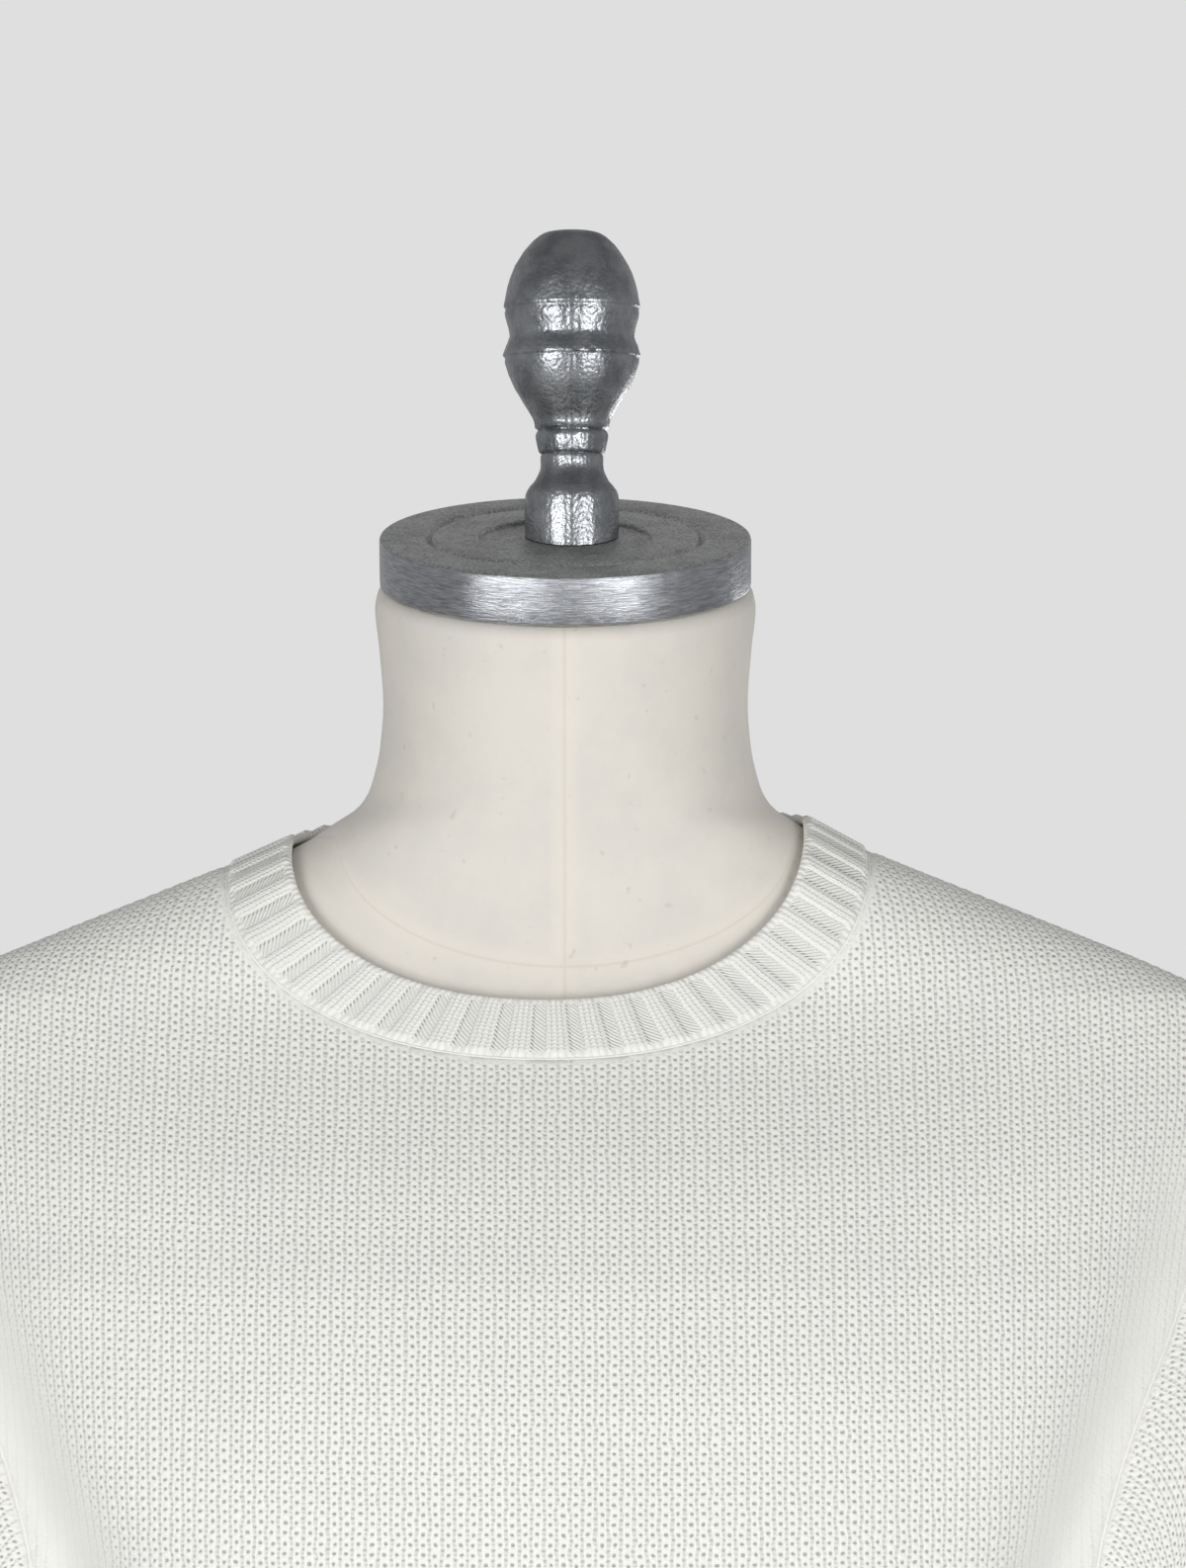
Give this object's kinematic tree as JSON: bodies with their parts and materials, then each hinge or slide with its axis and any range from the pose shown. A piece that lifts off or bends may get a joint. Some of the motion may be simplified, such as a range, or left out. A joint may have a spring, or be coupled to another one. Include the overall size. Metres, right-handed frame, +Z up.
{
  "type": "crew neck sweater on dress form",
  "caption": "Long-sleeved knit crew neck sweater with ribbed neckband, cuffs and hem, worn by a limbless dress form with a metal neck cap and knob on a low round stand.",
  "frame": {"origin": "on the floor, under the middle of the round foot plate", "axes": "+Z up, the sweater's front faces -Y, +X is the wearer's left"},
  "size_m": [0.571, 0.34, 1.0783],
  "materials": {
    "knit": "matte off-white knit with a fine grain of staggered holes",
    "rib": "matte off-white rib",
    "form_cover": "matte cream cotton stretched smooth",
    "brushed_cap": "brushed rim, duller top",
    "cast_knob": "cast, softly polished",
    "pole_metal": "brushed",
    "foot_paint": "satin"
  },
  "bodies": {
    "root": {"body_front": "knit", "body_back": "knit", "sleeve_right": "knit", "sleeve_left": "knit", "neckband": "rib", "hem_rib_front": "rib", "hem_rib_back": "rib", "cuff_right": "rib", "cuff_left": "rib", "dress_form": "form_cover", "neck_cap": "brushed_cap", "knob": "cast_knob", "pole": "pole_metal", "base_plate": "foot_paint"}
  },
  "joints": []
}
